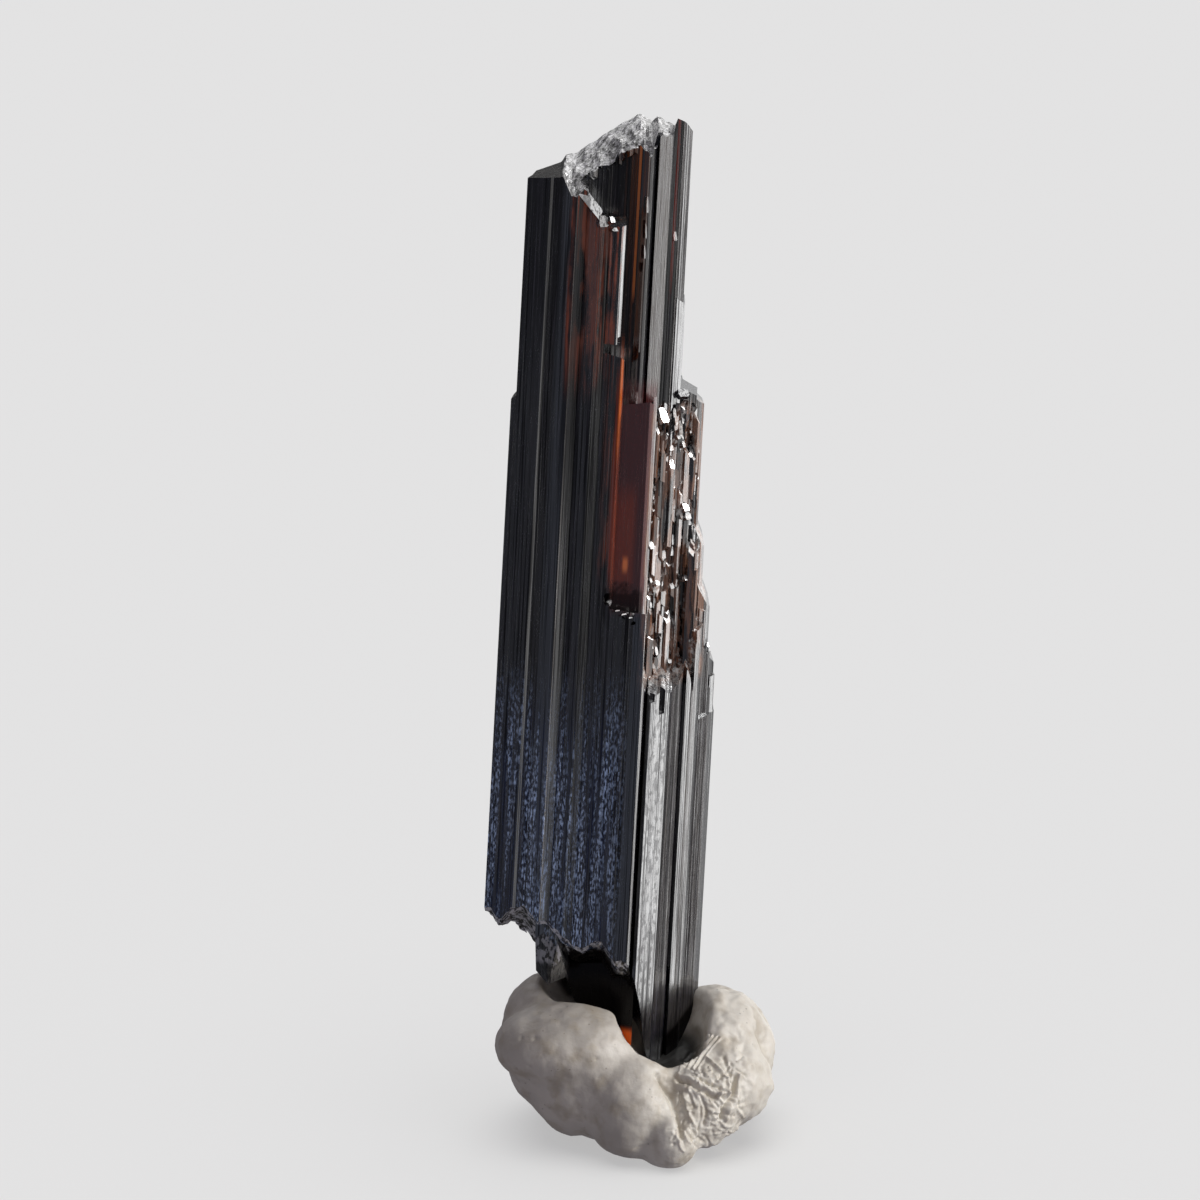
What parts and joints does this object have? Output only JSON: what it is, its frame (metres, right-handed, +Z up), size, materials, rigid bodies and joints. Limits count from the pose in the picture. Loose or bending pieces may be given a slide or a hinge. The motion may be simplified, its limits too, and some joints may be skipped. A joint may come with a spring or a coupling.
{
  "type": "rutile crystal specimen",
  "caption": "Long dark striated prismatic crystal, stepped and broken at the ends, standing in a pressed lump of mounting putty.",
  "frame": {"origin": "on the surface the putty rests on, at the middle of the putty's flattened underside", "axes": "+Z up along the crystal, -Y towards the crystal's broad front face, +X to the side with the stepped, needle-like growth"},
  "size_m": [0.0134, 0.0112, 0.0469],
  "materials": {
    "rutile": "adamantine, striated, nearly black with red-brown glints",
    "putty": "matt to satin, off-white grey, kneaded"
  },
  "bodies": {
    "root": {"crystal": "rutile", "putty": "putty"}
  },
  "joints": []
}
